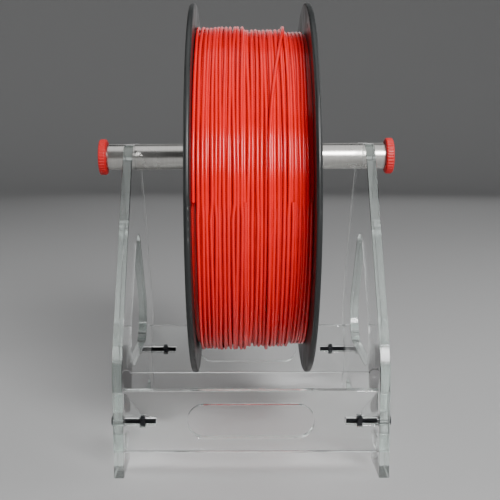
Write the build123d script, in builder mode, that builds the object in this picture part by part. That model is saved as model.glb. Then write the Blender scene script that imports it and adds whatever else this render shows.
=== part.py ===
from build123d import *
import os

# A table-top stand that holds one spool of 3-D printer filament.
# Two clear acrylic side panels are tied by two cross panels with tabs, screws and captive nuts.
# A steel tube lies in the open notches of the side panels, and the loaded spool hangs on it.
#
# Millimetres. +X runs along the tube, +Y to the rear and +Z up. The origin is on the table,
# midway between the side panels and between the feet.

# Overall sizes
inside_width = 123.0  # between the inner faces of the side panels
stand_depth = 169.0  # front to rear, over the feet
sheet = 5.0  # thickness of the acrylic sheet

# Side panels
foot_length = 26.5
arch_height = 12.5  # clear height between the feet
arch_corner_radius = 8.0
elbow_height = 56.6  # where the upright edge would meet the sloping edge
elbow_radius = 36.0
head_width = 38.6  # across the head, measured to its corners before rounding
head_corner_radius = 12.0
window_side_margin = 27.0  # from a panel's upright edge to the window's corner before rounding
window_top_margin = 32.0  # from the tube's axis down to the window's peak before rounding
window_corner_radius = 16.0

# Cross panels
cross_setback = 6.5  # from a side panel's upright edge to the cross panel's face
cross_base_height = 10.5
cross_height = 31.0
handle_slot_margin = 30.5  # from a side panel's inner face to the end of the long slot
handle_slot_height = 16.6
tab_height = 9.0
tab_margin = 1.0  # from the cross panel's top or bottom edge to a tab
mortise_gap = 0.1  # clearance round each tab

# Screws and nuts, M3
screw_diameter = 2.95
screw_length = 20.0
screw_head_diameter = 5.7
screw_head_height = 1.65
screw_head_rounding = 1.1
screw_socket_flats = 2.0
screw_socket_depth = 1.0
screw_hole_gap = 0.15
screw_end_gap = 0.7  # beyond the screw's tip, in its slot
nut_flats = 5.5
nut_thickness = 2.4
nut_bore_gap = 0.03
nut_from_panel = 8.7  # from a side panel's inner face to the nut's middle
pocket_gap = 0.2  # clearance on each side of the nut

# Tube and end caps
rod_diameter = 14.0
rod_wall = 1.0
rod_overhang = 9.5  # beyond each side panel, when the tube is centred
rod_shift = -1.5  # the tube lies loose, a little to the left
rod_end_chamfer = 0.3
notch_gap = 0.2  # between the tube and its notch
cap_diameter = 19.5
cap_thickness = 4.3
cap_rounding = 1.2
cap_flute_count = 36
cap_flute_radius = 0.7
cap_flute_depth = 0.25
plug_length = 9.0
plug_gap = 0.05
plug_chamfer = 0.8

# Spool and filament
flange_diameter = 200.0
flange_floor_gap = 33.7  # from the table to the flanges
spool_width = 63.0
spool_shift = 0.9  # the spool hangs loose, a little to the right
rim_thickness = 3.0
rim_width = 4.0
rim_rounding = 1.3
web_thickness = 2.2
bore_diameter = 51.0
hub_ring_width = 5.5
drum_ring_width = 4.0
rib_count = 8
rib_width = 2.0
rib_step = 0.2  # how far a rib stays below the rim
tuck_hole_count = 4
tuck_hole_diameter = 2.6
tuck_hole_lift = 4.0  # from the winding to the middle of a tuck hole
core_diameter = 90.0
core_wall = 2.2
core_rib_count = 6
winding_diameter = 176.0
hang_gap = 0.2  # between the top of the tube and the top of the spool's bore

# Places that follow from the sizes
inside_half = inside_width / 2
outside_half = inside_half + sheet
half_depth = stand_depth / 2
rod_radius = rod_diameter / 2
notch_radius = rod_radius + notch_gap
flange_radius = flange_diameter / 2
bore_radius = bore_diameter / 2
spool_height = flange_floor_gap + flange_radius
rod_height = spool_height + bore_radius - rod_radius - hang_gap
head_top = rod_height + rod_radius
cross_place = half_depth - cross_setback - sheet / 2
cross_middle = cross_base_height + cross_height / 2
cross_top = cross_base_height + cross_height
tab_offset = cross_height / 2 - tab_margin - tab_height / 2
rod_length = 2 * (outside_half + rod_overhang)
winding_half = spool_width / 2 - rim_thickness
winding_radius = winding_diameter / 2
core_radius = core_diameter / 2

left, right = -1, 1
front, rear = -1, 1
side_names = {left: "left", right: "right"}
row_names = {front: "front", rear: "rear"}
corners = [(side, row) for side in (left, right) for row in (front, rear)]

os.makedirs("parts", exist_ok=True)


def save(builder, name):
    """Labels a finished piece and writes it as its own STEP file."""
    builder.part.label = name
    export_step(builder.part, f"parts/{name}.step")


def mirrored_corners(sketch, across, height):
    """The corners of a sketch at one height, at one distance from its upright centre line."""
    near = 0.01
    level = sketch.vertices().filter_by_position(Axis.Y, height - near, height + near)
    return level.filter_by(lambda corner: abs(abs(corner.X) - across) < near)


# Side panels: laser-cut sheet with two feet, a three-cornered window and an open notch on top
for side in (left, right):
    middle = Plane.YZ.offset(side * (inside_half + sheet / 2))
    foot_start = half_depth - foot_length
    window_half = half_depth - window_side_margin
    window_peak = rod_height - window_top_margin
    with BuildPart() as side_panel:
        with BuildSketch(middle) as outline:
            with BuildLine():
                Polyline(
                    (0, arch_height),
                    (foot_start, arch_height),
                    (foot_start, 0),
                    (half_depth, 0),
                    (half_depth, elbow_height),
                    (head_width / 2, head_top),
                    (0, head_top),
                )
                mirror(about=Plane.YZ)
            make_face()
            fillet(mirrored_corners(outline, foot_start, arch_height), arch_corner_radius)
            fillet(mirrored_corners(outline, half_depth, elbow_height), elbow_radius)
            fillet(mirrored_corners(outline, head_width / 2, head_top), head_corner_radius)
            with Locations((0, rod_height)):
                Circle(notch_radius, mode=Mode.SUBTRACT)
                Rectangle(
                    2 * notch_radius,
                    2 * rod_radius,
                    align=(Align.CENTER, Align.MIN),
                    mode=Mode.SUBTRACT,
                )
        extrude(amount=sheet / 2, both=True)
        with BuildSketch(middle) as window:
            with BuildLine():
                Polyline(
                    (-window_half, cross_top),
                    (window_half, cross_top),
                    (0, window_peak),
                    close=True,
                )
            make_face()
            fillet(window.vertices(), window_corner_radius)
        extrude(amount=sheet / 2, both=True, mode=Mode.SUBTRACT)
        with BuildSketch(middle):
            for row in (front, rear):
                with Locations((row * cross_place, cross_middle)):
                    Circle(screw_diameter / 2 + screw_hole_gap)
                with Locations(
                    (row * cross_place, cross_middle - tab_offset),
                    (row * cross_place, cross_middle + tab_offset),
                ):
                    Rectangle(sheet + 2 * mortise_gap, tab_height + 2 * mortise_gap)
        extrude(amount=sheet / 2, both=True, mode=Mode.SUBTRACT)
    save(side_panel, f"side_panel_{side_names[side]}")

# Cross panels: sheet with two tabs at each end, a long slot, and a cross-shaped cut for each nut
for row in (front, rear):
    slot_depth = screw_length - sheet + screw_end_gap
    with BuildPart() as cross_panel:
        with BuildSketch(Plane.XZ.offset(-row * cross_place)):
            with Locations((0, cross_middle)):
                Rectangle(inside_width, cross_height)
                SlotOverall(
                    inside_width - 2 * handle_slot_margin, handle_slot_height, mode=Mode.SUBTRACT
                )
            for side in (left, right):
                with Locations(
                    (side * (inside_half + sheet / 2), cross_middle - tab_offset),
                    (side * (inside_half + sheet / 2), cross_middle + tab_offset),
                ):
                    Rectangle(sheet, tab_height)
                with Locations((side * (inside_half - slot_depth / 2), cross_middle)):
                    Rectangle(slot_depth, screw_diameter + 2 * screw_hole_gap, mode=Mode.SUBTRACT)
                with Locations((side * (inside_half - nut_from_panel), cross_middle)):
                    Rectangle(
                        nut_thickness + 2 * pocket_gap,
                        nut_flats + 2 * pocket_gap,
                        mode=Mode.SUBTRACT,
                    )
        extrude(amount=sheet / 2, both=True)
    save(cross_panel, f"cross_panel_{row_names[row]}")

# Screws: button heads with a hexagonal socket, one through each side panel into each cross panel
for side, row in corners:
    seat = Plane(origin=(side * outside_half, row * cross_place, cross_middle), z_dir=(side, 0, 0))
    with BuildPart(seat) as screw:
        Cylinder(
            screw_head_diameter / 2,
            screw_head_height,
            align=(Align.CENTER, Align.CENTER, Align.MIN),
        )
        crown = screw.faces().sort_by(Axis(seat.origin, seat.z_dir))[-1]
        fillet(crown.edges(), screw_head_rounding)
        Cylinder(
            screw_diameter / 2, screw_length, align=(Align.CENTER, Align.CENTER, Align.MAX)
        )
        with BuildSketch(seat.offset(screw_head_height)):
            RegularPolygon(screw_socket_flats / 2, 6, major_radius=False)
        extrude(amount=-screw_socket_depth, mode=Mode.SUBTRACT)
    save(screw, f"screw_{row_names[row]}_{side_names[side]}")

# Nuts: held between the flats of their pockets, corners standing out of the sheet
for side, row in corners:
    nut_plane = Plane(
        origin=(side * (inside_half - nut_from_panel), row * cross_place, cross_middle),
        x_dir=(0, 1, 0),
        z_dir=(1, 0, 0),
    )
    with BuildPart() as nut:
        with BuildSketch(nut_plane):
            RegularPolygon(nut_flats / 2, 6, major_radius=False)
            Circle(screw_diameter / 2 + nut_bore_gap, mode=Mode.SUBTRACT)
        extrude(amount=nut_thickness / 2, both=True)
    save(nut, f"nut_{row_names[row]}_{side_names[side]}")

# Tube: stainless steel, lying in both notches
with BuildPart() as axle_tube:
    with BuildSketch(Plane.YZ.offset(rod_shift)):
        with Locations((0, rod_height)):
            Circle(rod_radius)
            Circle(rod_radius - rod_wall, mode=Mode.SUBTRACT)
    extrude(amount=rod_length / 2, both=True)
    outer_rings = axle_tube.edges().filter_by(GeomType.CIRCLE).sort_by(SortBy.RADIUS)[-2:]
    chamfer(outer_rings, rod_end_chamfer)
save(axle_tube, "axle_tube")

# End caps: a fluted disc outside the tube and a plug inside it
for side in (left, right):
    rod_end = Plane(
        origin=(rod_shift + side * rod_length / 2, 0, rod_height), z_dir=(side, 0, 0)
    )
    outward = Axis(rod_end.origin, rod_end.z_dir)
    with BuildPart(rod_end) as end_cap:
        Cylinder(
            cap_diameter / 2, cap_thickness, align=(Align.CENTER, Align.CENTER, Align.MIN)
        )
        fillet(end_cap.edges().filter_by(GeomType.CIRCLE), cap_rounding)
        with BuildSketch(rod_end):
            flute_ring_radius = cap_diameter / 2 + cap_flute_radius - cap_flute_depth
            with PolarLocations(flute_ring_radius, cap_flute_count):
                Circle(cap_flute_radius)
        extrude(amount=cap_thickness, mode=Mode.SUBTRACT)
        Cylinder(
            rod_radius - rod_wall - plug_gap,
            plug_length,
            align=(Align.CENTER, Align.CENTER, Align.MAX),
        )
        chamfer(end_cap.faces().sort_by(outward)[0].edges(), plug_chamfer)
    save(end_cap, f"end_cap_{side_names[side]}")

# Spool flanges: thin discs with a thick rounded rim, two rings, ribs and holes for the loose end
for side in (left, right):
    face = Plane(
        origin=(spool_shift + side * winding_half, 0, spool_height), z_dir=(side, 0, 0)
    )
    rib_start = bore_radius + hub_ring_width / 2
    rib_end = flange_radius - rim_width / 2
    with BuildPart() as spool_flange:
        with BuildSketch(face):
            Circle(flange_radius)
            Circle(bore_radius, mode=Mode.SUBTRACT)
        extrude(amount=web_thickness)
        with BuildSketch(face):
            Circle(flange_radius)
            Circle(flange_radius - rim_width, mode=Mode.SUBTRACT)
        extrude(amount=rim_thickness)
        with BuildSketch(face):
            Circle(bore_radius + hub_ring_width)
            Circle(bore_radius, mode=Mode.SUBTRACT)
        extrude(amount=rim_thickness)
        with BuildSketch(face):
            Circle(core_radius + drum_ring_width / 2)
            Circle(core_radius - drum_ring_width / 2, mode=Mode.SUBTRACT)
            with PolarLocations((rib_start + rib_end) / 2, rib_count):
                Rectangle(rib_end - rib_start, rib_width)
        extrude(amount=rim_thickness - rib_step)
        edge_rings = spool_flange.edges().filter_by(GeomType.CIRCLE).sort_by(SortBy.RADIUS)[-2:]
        fillet(edge_rings, rim_rounding)
        with BuildSketch(face):
            with PolarLocations(
                winding_radius + tuck_hole_lift, tuck_hole_count, start_angle=180 / rib_count
            ):
                Circle(tuck_hole_diameter / 2)
        extrude(amount=rim_thickness, mode=Mode.SUBTRACT)
    save(spool_flange, f"spool_flange_{side_names[side]}")

# Spool core: a drum and a bore tube joined by radial ribs, between the flanges
spool_middle = Plane(
    origin=(spool_shift, 0, spool_height), x_dir=(0, 1, 0), z_dir=(1, 0, 0)
)
with BuildPart() as spool_core:
    with BuildSketch(spool_middle):
        Circle(core_radius)
        Circle(core_radius - core_wall, mode=Mode.SUBTRACT)
        with PolarLocations((core_radius + bore_radius) / 2, core_rib_count):
            Rectangle(core_radius - bore_radius - core_wall, core_wall)
        Circle(bore_radius + core_wall)
        Circle(bore_radius, mode=Mode.SUBTRACT)
    extrude(amount=winding_half, both=True)
save(spool_core, "spool_core")

# Filament: the wound package as one solid ring, as wide as the gap between the flanges
with BuildPart() as filament_winding:
    with BuildSketch(spool_middle):
        Circle(winding_radius)
        Circle(core_radius, mode=Mode.SUBTRACT)
    extrude(amount=winding_half, both=True)
save(filament_winding, "filament_winding")
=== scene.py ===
import math
import random

import bpy
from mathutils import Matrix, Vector, noise


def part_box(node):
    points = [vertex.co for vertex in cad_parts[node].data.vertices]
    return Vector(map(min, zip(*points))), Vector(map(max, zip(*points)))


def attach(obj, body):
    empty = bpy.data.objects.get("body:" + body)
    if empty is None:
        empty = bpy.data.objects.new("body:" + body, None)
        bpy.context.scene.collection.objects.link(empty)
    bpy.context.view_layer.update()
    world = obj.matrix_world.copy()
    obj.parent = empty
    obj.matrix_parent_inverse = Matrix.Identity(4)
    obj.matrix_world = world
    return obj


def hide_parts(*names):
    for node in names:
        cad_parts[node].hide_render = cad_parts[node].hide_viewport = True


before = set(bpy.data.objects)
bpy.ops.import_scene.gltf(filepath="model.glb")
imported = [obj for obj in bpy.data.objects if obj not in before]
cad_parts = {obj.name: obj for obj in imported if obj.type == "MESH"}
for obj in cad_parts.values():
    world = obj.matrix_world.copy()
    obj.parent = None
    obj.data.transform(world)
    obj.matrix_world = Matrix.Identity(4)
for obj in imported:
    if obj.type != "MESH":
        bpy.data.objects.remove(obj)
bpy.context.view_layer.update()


# Camera: stands in front of the holder, a little above its tube, and looks slightly down at it
camera_data = bpy.data.cameras.new("camera")
camera_data.lens = 69.07
camera_data.sensor_width = 36
camera_data.shift_x = 0.0426
camera = bpy.data.objects.new("camera", camera_data)
camera.location = (-0.0055, -0.5296, 0.1699)
camera.rotation_euler = (math.radians(90 - 7.5), math.radians(0.315), math.radians(0.579))
bpy.context.collection.objects.link(camera)
bpy.context.scene.camera = camera


# Room: a round pale floor whose rim sweeps up into a wall, and large soft lamps in front, above,
# behind and to both sides, all inside the wall
def select_only(piece):
    """Leaves one object selected and active, so that the operators act on it alone."""
    bpy.ops.object.select_all(action="DESELECT")
    piece.select_set(True)
    bpy.context.view_layer.objects.active = piece


def weld(piece):
    """Joins points that lie on each other, drops slivers, and turns the faces outwards."""
    select_only(piece)
    bpy.ops.object.mode_set(mode="EDIT")
    bpy.ops.mesh.select_all(action="SELECT")
    bpy.ops.mesh.remove_doubles(threshold=1e-6)
    bpy.ops.mesh.dissolve_degenerate(threshold=1e-6)
    bpy.ops.mesh.select_all(action="SELECT")
    bpy.ops.mesh.normals_make_consistent(inside=False)
    bpy.ops.object.mode_set(mode="OBJECT")


def new_material(name):
    """A material with an empty Principled shader, and its node tree."""
    material = bpy.data.materials.new(name)
    material.use_nodes = True
    return material, material.node_tree.nodes, material.node_tree.links


def soft_lamp(name, place, target, width, height, power):
    data = bpy.data.lights.new(name, "AREA")
    data.shape = "RECTANGLE"
    data.size = width
    data.size_y = height
    data.energy = power
    lamp = bpy.data.objects.new(name, data)
    lamp.location = place
    lamp.rotation_euler = (Vector(target) - Vector(place)).to_track_quat("-Z", "Y").to_euler()
    bpy.context.collection.objects.link(lamp)


def lathe(name, profile, steps):
    """Turns a profile of (radius, height) points about the Z axis."""
    mesh = bpy.data.meshes.new(name)
    points = [(radius, 0, height) for radius, height in profile]
    mesh.from_pydata(points, [(i, i + 1) for i in range(len(points) - 1)], [])
    piece = bpy.data.objects.new(name, mesh)
    bpy.context.collection.objects.link(piece)
    select_only(piece)
    bpy.ops.object.mode_set(mode="EDIT")
    bpy.ops.mesh.select_all(action="SELECT")
    bpy.ops.mesh.spin(steps=steps, angle=2 * math.pi, center=(0, 0, 0), axis=(0, 0, 1))
    bpy.ops.object.mode_set(mode="OBJECT")
    weld(piece)
    return piece


flat_radius = 1.9
sweep_radius = 0.8
sweep_steps = 16
wall_height = 2.6
floor_profile = [(0, 0)]
for step in range(sweep_steps + 1):
    turn = math.pi / 2 * step / sweep_steps
    floor_profile.append(
        (flat_radius + sweep_radius * math.sin(turn), sweep_radius * (1 - math.cos(turn)))
    )
floor_profile.append((flat_radius + sweep_radius, wall_height))
floor = lathe("floor", floor_profile, steps=96)
bpy.ops.object.shade_smooth()
floor_paint, nodes, links = new_material("pale_floor")
shader = nodes["Principled BSDF"]
shader.inputs["Base Color"].default_value = (0.36, 0.36, 0.36, 1)
shader.inputs["Roughness"].default_value = 0.75
shader.inputs["Specular IOR Level"].default_value = 0.2
floor.data.materials.append(floor_paint)

world = bpy.data.worlds.new("studio")
world.use_nodes = True
world.node_tree.nodes["Background"].inputs["Color"].default_value = (0.92, 0.95, 1.0, 1)
world.node_tree.nodes["Background"].inputs["Strength"].default_value = 0.12
bpy.context.scene.world = world

aim = (0, 0, 0.13)
soft_lamp("key_lamp", (0.42, -1.05, 0.72), aim, 0.5, 0.45, 27)
soft_lamp("overhead_lamp", (0, -0.1, 1.6), aim, 1.6, 1.6, 9)
soft_lamp("left_lamp", (-1.1, 0.1, 0.5), aim, 0.5, 0.8, 3)
soft_lamp("right_lamp", (1.1, 0.15, 0.5), aim, 0.5, 0.8, 5)
soft_lamp("rear_lamp", (0.3, 1.6, 0.62), aim, 1.4, 0.8, 2.2)


# Side panels: two sheets of clear cast acrylic, laser cut, each with two feet, a three-cornered
# window and an open notch on top. The beam leaves the cut edge satin, with fine marks across it.
MM = 0.001


def mottle_group():
    """Soft patches or fine grain on a surface: a mask, and a colour and a roughness that follow it.

    Stretch multiplies the coordinates, so a small value draws the pattern out along that axis.
    """
    group = bpy.data.node_groups.new("mottle", "ShaderNodeTree")
    for socket, kind in (
        ("Stretch", "Vector"),
        ("Scale", "Float"),
        ("Detail", "Float"),
        ("Dark", "Color"),
        ("Light", "Color"),
        ("Smooth", "Float"),
        ("Rough", "Float"),
    ):
        group.interface.new_socket(socket, in_out="INPUT", socket_type=f"NodeSocket{kind}")
    for socket, kind in (("Mask", "Float"), ("Color", "Color"), ("Roughness", "Float")):
        group.interface.new_socket(socket, in_out="OUTPUT", socket_type=f"NodeSocket{kind}")
    nodes = group.nodes
    start = nodes.new("NodeGroupInput")
    end = nodes.new("NodeGroupOutput")
    place = nodes.new("ShaderNodeTexCoord")
    stretch = nodes.new("ShaderNodeVectorMath")
    stretch.operation = "MULTIPLY"
    cloud = nodes.new("ShaderNodeTexNoise")
    tone = nodes.new("ShaderNodeMix")
    tone.data_type = "RGBA"
    gloss = nodes.new("ShaderNodeMapRange")
    gloss.inputs["From Min"].default_value = 0.3
    gloss.inputs["From Max"].default_value = 0.7
    for source, target in (
        (place.outputs["Object"], stretch.inputs[0]),
        (start.outputs["Stretch"], stretch.inputs[1]),
        (stretch.outputs[0], cloud.inputs["Vector"]),
        (start.outputs["Scale"], cloud.inputs["Scale"]),
        (start.outputs["Detail"], cloud.inputs["Detail"]),
        (cloud.outputs["Fac"], end.inputs["Mask"]),
        (cloud.outputs["Fac"], tone.inputs["Factor"]),
        (start.outputs["Dark"], tone.inputs["A"]),
        (start.outputs["Light"], tone.inputs["B"]),
        (tone.outputs["Result"], end.inputs["Color"]),
        (cloud.outputs["Fac"], gloss.inputs["Value"]),
        (start.outputs["Smooth"], gloss.inputs["To Min"]),
        (start.outputs["Rough"], gloss.inputs["To Max"]),
        (gloss.outputs["Result"], end.inputs["Roughness"]),
    ):
        group.links.new(source, target)
    return group


def place_mottle(nodes, links, scale, detail, stretch=(1, 1, 1), tones=None, gloss=None):
    """Puts the group in a material. Tones colour its shader, and gloss sets its roughness."""
    patches = nodes.new("ShaderNodeGroup")
    patches.node_tree = mottle
    patches.inputs["Scale"].default_value = scale
    patches.inputs["Detail"].default_value = detail
    patches.inputs["Stretch"].default_value = stretch
    shader = nodes["Principled BSDF"]
    if tones:
        patches.inputs["Dark"].default_value = (*tones[0], 1)
        patches.inputs["Light"].default_value = (*tones[1], 1)
        links.new(patches.outputs["Color"], shader.inputs["Base Color"])
    if gloss:
        patches.inputs["Smooth"].default_value = gloss[0]
        patches.inputs["Rough"].default_value = gloss[1]
        links.new(patches.outputs["Roughness"], shader.inputs["Roughness"])
    return patches


def raise_marks(nodes, links, marks, strength, depth):
    """Makes the mask of a placed group stand out as fine relief."""
    bump = nodes.new("ShaderNodeBump")
    bump.inputs["Strength"].default_value = strength
    bump.inputs["Distance"].default_value = depth
    links.new(marks.outputs["Mask"], bump.inputs["Height"])
    links.new(bump.outputs["Normal"], nodes["Principled BSDF"].inputs["Normal"])


def let_lamps_through(nodes, links, shader, share):
    """Lamps reach what is behind the sheet, as they do through real acrylic."""
    path = nodes.new("ShaderNodeLightPath")
    clear = nodes.new("ShaderNodeBsdfTransparent")
    clear.inputs["Color"].default_value = (share, share, share, 1)
    mix = nodes.new("ShaderNodeMixShader")
    links.new(path.outputs["Is Shadow Ray"], mix.inputs["Fac"])
    links.new(shader.outputs["BSDF"], mix.inputs[1])
    links.new(clear.outputs["BSDF"], mix.inputs[2])
    links.new(mix.outputs["Shader"], nodes["Material Output"].inputs["Surface"])


def clear_face_material():
    material, nodes, links = new_material("clear_acrylic_face")
    shader = nodes["Principled BSDF"]
    shader.inputs["Base Color"].default_value = (0.97, 0.985, 0.98, 1)
    shader.inputs["IOR"].default_value = 1.49
    shader.inputs["Transmission Weight"].default_value = 1.0
    place_mottle(nodes, links, 45, 6, gloss=(0.0, 0.03))
    let_lamps_through(nodes, links, shader, 0.9)
    return material


def cut_edge_material(name, stretch):
    """A satin edge, whose marks are drawn out through the sheet's thickness."""
    material, nodes, links = new_material(name)
    shader = nodes["Principled BSDF"]
    shader.inputs["IOR"].default_value = 1.49
    shader.inputs["Transmission Weight"].default_value = 0.92
    satin = ((0.58, 0.66, 0.62), (0.88, 0.93, 0.91))
    place_mottle(nodes, links, 60, 2, stretch, tones=satin, gloss=(0.06, 0.20))
    beam_marks = place_mottle(nodes, links, 1400, 3, stretch)
    raise_marks(nodes, links, beam_marks, 0.6, 0.08 * MM)
    let_lamps_through(nodes, links, shader, 0.75)
    return material


def acrylic_sheet(node, name, thickness_axis, edge_material):
    """A CAD sheet with its sharp edges eased, and its cut edge and its two faces finished apart."""
    piece = bpy.data.objects.new(name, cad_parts[node].data.copy())
    bpy.context.collection.objects.link(piece)
    select_only(piece)
    bpy.ops.object.mode_set(mode="EDIT")
    bpy.ops.mesh.select_all(action="SELECT")
    bpy.ops.mesh.remove_doubles(threshold=1e-6)
    bpy.ops.object.mode_set(mode="OBJECT")
    edges = piece.modifiers.new("eased_edges", "BEVEL")
    edges.width = 0.3 * MM
    edges.segments = 2
    edges.limit_method = "ANGLE"
    edges.loop_slide = False
    edges.angle_limit = math.radians(50)
    bpy.ops.object.modifier_apply(modifier=edges.name)
    bpy.ops.object.shade_smooth_by_angle(angle=math.radians(18))
    piece.data.materials.clear()
    piece.data.materials.append(clear_face)
    piece.data.materials.append(edge_material)
    for face in piece.data.polygons:
        face.material_index = 1 if abs(face.normal[thickness_axis]) < 0.1 else 0
    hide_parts(node)
    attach(piece, "stand")


mottle = mottle_group()
clear_face = clear_face_material()
side_edge = cut_edge_material("side_panel_cut_edge", (0.04, 1, 1))
for side in ("left", "right"):
    acrylic_sheet(f"side_panel_{side}", f"{side}_side_sheet", 0, side_edge)


# Cross panels: two strips of the same sheet, plugged into the side panels by two tabs at each end.
# Each has a long round-ended slot to lift the holder by, and a cross-shaped cut for each nut.
cross_edge = cut_edge_material("cross_panel_cut_edge", (1, 0.04, 1))
for row_name in ("front", "rear"):
    acrylic_sheet(f"cross_panel_{row_name}", f"{row_name}_cross_sheet", 1, cross_edge)


# Screws: four M3 button-head screws of blackened steel, tightened with a 2 mm key.
# The head is turned, the socket is pressed in, and the thread is rolled.
def cut_with(piece, tool, operation):
    """Applies one solid to another and throws the tool away."""
    select_only(piece)
    cut = piece.modifiers.new("cut", "BOOLEAN")
    cut.operation = operation
    cut.solver = "EXACT"
    cut.object = tool
    bpy.ops.object.modifier_apply(modifier=cut.name)
    bpy.data.objects.remove(tool)
    weld(piece)


def lay_along_x(piece, outward, centre):
    """Turns a piece made upright so that it points left (-1) or right (1), and puts it in place."""
    select_only(piece)
    piece.rotation_euler = (0, outward * math.pi / 2, 0)
    piece.location = centre
    bpy.ops.object.transform_apply(location=True, rotation=True, scale=True)


def blackened_steel():
    material, nodes, links = new_material("blackened_steel")
    nodes["Principled BSDF"].inputs["Metallic"].default_value = 1.0
    oxide = ((0.018, 0.018, 0.02), (0.05, 0.05, 0.055))
    skin = place_mottle(nodes, links, 900, 4, tones=oxide, gloss=(0.28, 0.5))
    raise_marks(nodes, links, skin, 0.2, 0.02 * MM)
    return material


black_steel = blackened_steel()
screw_crest = 1.475 * MM
screw_root = 1.23 * MM
screw_pitch = 0.5 * MM
screw_reach = 20 * MM
first_crest = 0.75 * screw_pitch  # up from the tip
crest_half_width = 0.06 * screw_pitch
neck = 0.1 * MM  # plain, under the head
head_radius = 2.85 * MM
head_rise = 1.65 * MM
head_side = 0.45 * MM
crown_rounding = 1.1 * MM
crown_steps = 6
socket_flats = 2 * MM
socket_depth = 1 * MM


def screw_profile():
    """From the tip, up the thread's crests and roots, and over the domed head."""
    profile = [(0, -screw_reach), (screw_root, -screw_reach)]
    turns = round(screw_reach / screw_pitch) - 1
    for turn in range(turns):
        crest_height = -screw_reach + first_crest + turn * screw_pitch
        profile.append((screw_crest, crest_height - crest_half_width))
        profile.append((screw_crest, crest_height + crest_half_width))
        profile.append((screw_root, crest_height + screw_pitch / 2))
    profile += [(screw_crest, -neck), (screw_crest, 0), (head_radius, 0)]
    for step in range(crown_steps + 1):
        turn = math.pi / 2 * step / crown_steps
        radius = head_radius - crown_rounding * (1 - math.cos(turn))
        profile.append((radius, head_side + (head_rise - head_side) * math.sin(turn)))
    profile.append((0, head_rise))
    return profile


for row_name in ("front", "rear"):
    for side, outward in (("left", -1), ("right", 1)):
        node = f"screw_{row_name}_{side}"
        low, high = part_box(node)
        head_seat = (high.x - head_rise) if outward > 0 else (low.x + head_rise)
        screw = lathe(f"{row_name}_{side}_screw", screw_profile(), steps=28)
        bpy.ops.mesh.primitive_cylinder_add(
            vertices=6,
            radius=socket_flats / math.sqrt(3),
            depth=2 * socket_depth,
            location=(0, 0, head_rise),
        )
        cut_with(screw, bpy.context.object, "DIFFERENCE")
        lay_along_x(screw, outward, (head_seat, (low.y + high.y) / 2, (low.z + high.z) / 2))
        bpy.ops.object.shade_smooth_by_angle(angle=math.radians(32))
        screw.data.materials.append(black_steel)
        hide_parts(node)
        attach(screw, "stand")


# Nuts: four M3 hexagon nuts of blackened steel, dropped into the cuts of the cross panels.
# Both faces are chamfered, so that the six corners are rounded off.
nut_flats = 5.5 * MM
nut_half = 1.2 * MM
corner_radius = nut_flats / math.sqrt(3)
blank_radius = 1.2 * corner_radius  # before its six flats are cut
chamfer_radius = 2.62 * MM
chamfer_slope = math.radians(24.35)
chamfer_drop = (blank_radius - chamfer_radius) * math.tan(chamfer_slope)
bore_radius = 1.5 * MM
bore_chamfer = 0.25 * MM
blank_profile = [
    (0, -nut_half),
    (chamfer_radius, -nut_half),
    (blank_radius, -nut_half + chamfer_drop),
    (blank_radius, nut_half - chamfer_drop),
    (chamfer_radius, nut_half),
    (0, nut_half),
]
bore_profile = [
    (0, -2 * nut_half),
    (bore_radius + bore_chamfer, -2 * nut_half),
    (bore_radius + bore_chamfer, -nut_half),
    (bore_radius, -nut_half + bore_chamfer),
    (bore_radius, nut_half - bore_chamfer),
    (bore_radius + bore_chamfer, nut_half),
    (bore_radius + bore_chamfer, 2 * nut_half),
    (0, 2 * nut_half),
]
for row_name in ("front", "rear"):
    for side, outward in (("left", -1), ("right", 1)):
        node = f"nut_{row_name}_{side}"
        low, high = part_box(node)
        nut = lathe(f"{row_name}_{side}_nut", blank_profile, steps=48)
        bpy.ops.mesh.primitive_cylinder_add(
            vertices=6,
            radius=corner_radius,
            depth=4 * nut_half,
            rotation=(0, 0, math.radians(30)),
        )
        cut_with(nut, bpy.context.object, "INTERSECT")
        cut_with(nut, lathe("bore", bore_profile, steps=32), "DIFFERENCE")
        lay_along_x(nut, outward, (low + high) / 2)
        bpy.ops.object.shade_smooth_by_angle(angle=math.radians(25))
        nut.data.materials.append(black_steel)
        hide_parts(node)
        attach(nut, "stand")


# Tube: thin-walled stainless tube, drawn and finely brushed round its axis, with deburred ends.
def brushed_stainless():
    """The brush marks run round the tube, so the pattern is drawn out in Y and Z."""
    material, nodes, links = new_material("brushed_stainless")
    nodes["Principled BSDF"].inputs["Metallic"].default_value = 1.0
    steel = ((0.46, 0.45, 0.43), (0.62, 0.61, 0.58))
    brush_marks = place_mottle(nodes, links, 3500, 4, (1, 0.02, 0.02), tones=steel)
    raise_marks(nodes, links, brush_marks, 0.15, 0.01 * MM)
    place_mottle(nodes, links, 60, 4, gloss=(0.24, 0.34))
    return material


low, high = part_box("axle_tube")
tube_radius = (high.z - low.z) / 2
tube_wall = 1 * MM
tube_length = high.x - low.x
rod_height = (high.z + low.z) / 2
deburr = 0.25 * MM
deburr_steps = 3
ring_profile = []
for inner, height, turn_start in (
    (False, tube_length / 2, 0),
    (True, tube_length / 2, 90),
    (True, -tube_length / 2, 180),
    (False, -tube_length / 2, 270),
):
    radius = tube_radius - tube_wall if inner else tube_radius
    centre_radius = radius + deburr if inner else radius - deburr
    centre_height = height - math.copysign(deburr, height)
    for step in range(deburr_steps + 1):
        turn = math.radians(turn_start + 90 * step / deburr_steps)
        ring_profile.append(
            (centre_radius + deburr * math.cos(turn), centre_height + deburr * math.sin(turn))
        )
ring_profile.append(ring_profile[0])
tube = lathe("polished_tube", ring_profile, steps=128)
lay_along_x(tube, 1, ((low.x + high.x) / 2, 0, rod_height))
bpy.ops.object.shade_smooth_by_angle(angle=math.radians(35))
tube.data.materials.append(brushed_stainless())
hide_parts("axle_tube")
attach(tube, "axle")


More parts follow.
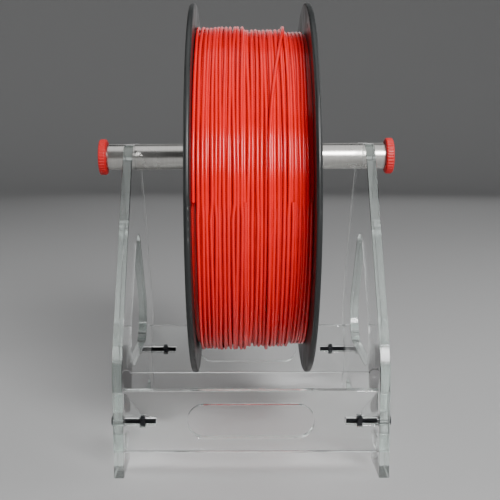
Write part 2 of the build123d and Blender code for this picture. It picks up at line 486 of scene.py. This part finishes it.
# End caps: moulded red plastic plugs with a fluted rim, pushed into the ends of the tube.
def moulded_plastic(name, tones, gloss, grain_depth):
    """Coloured plastic with the fine grain of its mould and a faint unevenness in its gloss."""
    material, nodes, links = new_material(name)
    nodes["Principled BSDF"].inputs["IOR"].default_value = 1.47
    place_mottle(nodes, links, 70, 5, tones=tones, gloss=gloss)
    grain = place_mottle(nodes, links, 1600, 3)
    raise_marks(nodes, links, grain, 0.3, grain_depth)
    return material


cap_reds = ((0.44, 0.0015, 0.003), (0.56, 0.002, 0.005))
red_cap = moulded_plastic("red_cap_plastic", cap_reds, (0.4, 0.55), 0.03 * MM)
for side in ("left", "right"):
    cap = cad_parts[f"end_cap_{side}"]
    cap.material_slots[0].material = red_cap


# Spool: two black moulded flanges on a ribbed core. The flanges have a rounded rim, a ring over
# the core, ribs, and four small holes near the rim for the filament's end.
spool_blacks = ((0.006, 0.007, 0.007), (0.013, 0.015, 0.015))
black_spool = moulded_plastic("black_spool_plastic", spool_blacks, (0.34, 0.5), 0.02 * MM)
for node in ("spool_flange_left", "spool_flange_right", "spool_core"):
    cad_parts[node].material_slots[0].material = black_spool


# Filament: one 1.75 mm strand of glossy red plastic, wound on the core in layers. The top layer
# covers only the left part, the turns lie unevenly, and the end is tucked through the right flange.
def red_filament_material():
    material, nodes, links = new_material("red_filament")
    shader = nodes["Principled BSDF"]
    shader.inputs["IOR"].default_value = 1.46
    shader.inputs["Specular IOR Level"].default_value = 0.4
    shader.inputs["Subsurface Weight"].default_value = 0.22
    shader.inputs["Subsurface Radius"].default_value = (1.0, 0.25, 0.15)
    shader.inputs["Subsurface Scale"].default_value = 1.2 * MM
    reds = ((0.62, 0.0010, 0.004), (0.76, 0.0016, 0.006))
    place_mottle(nodes, links, 120, 3, tones=reds, gloss=(0.17, 0.26))
    return material


strand = 1.75 * MM
low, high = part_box("filament_winding")
spool_x = (low.x + high.x) / 2
spool_z = (low.z + high.z) / 2
winding_half = (high.x - low.x) / 2
winding_radius = (high.z - low.z) / 2
low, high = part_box("spool_core")
core_radius = (high.z - low.z) / 2
layer_rise = 0.84 * strand
outer_centre = winding_radius - strand / 2
turn_steps = 72
lane_unevenness = 0.2  # of the pitch
lane_drift = 0.8 * MM
depth_drift = 0.5 * MM
drift_speed = 1.3  # how fast the drift changes along a turn
drift_step = 0.83  # and from one turn to the next
flange_gap = 0.1 * MM
red_filament = red_filament_material()


def on_winding(angle, radius, across):
    """A point on the winding. The angle starts at the front and goes up over the top to the rear."""
    return Vector(
        (
            spool_x + across,
            -radius * math.cos(angle),
            spool_z + radius * math.sin(angle),
        )
    )


def wandering(seed, turn, angle, size):
    """A smooth, repeatable drift along a turn, different for each turn."""
    along = drift_speed * math.cos(angle) + seed
    return size * noise.noise(Vector((along, drift_speed * math.sin(angle), drift_step * turn)))


def strand_piece(name, points):
    """A round strand along the points, as a closed tube."""
    curve = bpy.data.curves.new(name, "CURVE")
    curve.dimensions = "3D"
    curve.bevel_depth = strand / 2
    curve.bevel_resolution = 2
    curve.use_fill_caps = True
    line = curve.splines.new("POLY")
    line.points.add(len(points) - 1)
    for spot, point in zip(line.points, points):
        spot.co = (*point, 1)
    piece = bpy.data.objects.new(name, curve)
    bpy.context.collection.objects.link(piece)
    select_only(piece)
    bpy.ops.object.convert(target="MESH")
    piece = bpy.context.object
    weld(piece)
    bpy.ops.object.shade_smooth_by_angle(angle=math.radians(60))
    piece.data.materials.clear()
    piece.data.materials.append(red_filament)
    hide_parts("filament_winding")
    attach(piece, "spool")


def layer_points(seed, start, pitch, turns, centre, sink):
    """A helix of uneven turns. Sink is how far a turn may lie below the layer's top."""
    points = []
    draw = random.Random(seed)
    lanes = [draw.uniform(-1, 1) for _ in range(turns + 2)]
    depths = [draw.random() ** 2 for _ in range(turns + 2)]
    limit = winding_half - strand / 2 - flange_gap
    for step in range(turns * turn_steps + 1):
        turn, part = divmod(step, turn_steps)
        share = part / turn_steps
        angle = 2 * math.pi * share
        lane = lanes[turn] * (1 - share) + lanes[turn + 1] * share
        depth = depths[turn] * (1 - share) + depths[turn + 1] * share
        across = start + pitch * (turn + share) + lane_unevenness * pitch * lane
        across += wandering(seed, turn, angle, lane_drift)
        across = max(-limit, min(limit, across))
        radius = centre - sink * depth - abs(wandering(seed + 7, turn, angle, depth_drift))
        points.append(on_winding(angle, radius, across))
    return points


edge_start = -winding_half + strand / 2 + 0.2 * MM  # the centre of the first turn
pitch = 2.05 * MM
for name, seed, start, turns, layer, sink in (
    ("filament_top_turns", 11, edge_start, 12, 0, 0.5 * MM),
    ("filament_second_turns", 23, edge_start + pitch / 2, 22, 1, 0.5 * MM),
    ("filament_third_turns", 37, edge_start, 27, 2, 0.2 * MM),
):
    centre = outer_centre - layer * layer_rise
    strand_piece(name, layer_points(seed, start, pitch, turns, centre, sink))

# The layers underneath, as one solid ring that comes up between the third layer's turns
package_radius = outer_centre - 2.4 * layer_rise
package_profile = [
    (core_radius, -winding_half),
    (package_radius, -winding_half),
    (package_radius, winding_half),
    (core_radius, winding_half),
    (core_radius, -winding_half),
]
package = lathe("filament_package", package_profile, steps=128)
lay_along_x(package, 1, (spool_x, 0, spool_z))
bpy.ops.object.shade_smooth_by_angle(angle=math.radians(35))
package.data.materials.append(red_filament)
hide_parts("filament_winding")
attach(package, "spool")


def ease_in(share):
    """Goes smoothly from 0 to 1."""
    share = max(0.0, min(1.0, share))
    return share * share * (3 - 2 * share)


# The loose end, in degrees round the winding. Each drift to the right has a reach, an angle where
# it starts, and an angle that it takes. At the end it lifts to its hole and goes through it.
loose_start = -260
tuck_angle = 157.5
tuck_radius = winding_radius + 4 * MM
drifts = ((11 * MM, -240, 150), (9 * MM, 15, 70), (9.6 * MM, 85, 55))
lift_start = 125
lift_length = 30
loose_across = -3 * MM
loose_sink = 0.1 * MM
loose_steps = 140
loose_points = []
for step in range(loose_steps + 1):
    angle = loose_start + (tuck_angle - loose_start) * step / loose_steps
    across = loose_across
    for reach, drift_start, drift_length in drifts:
        across += reach * ease_in((angle - drift_start) / drift_length)
    lift = ease_in((angle - lift_start) / lift_length)
    radius = outer_centre - loose_sink + (tuck_radius - outer_centre) * lift
    loose_points.append(on_winding(math.radians(angle), radius, across))
for beyond in (1.5 * MM, 4.5 * MM):
    loose_points.append(on_winding(math.radians(tuck_angle), tuck_radius, winding_half + beyond))
strand_piece("filament_end", loose_points)
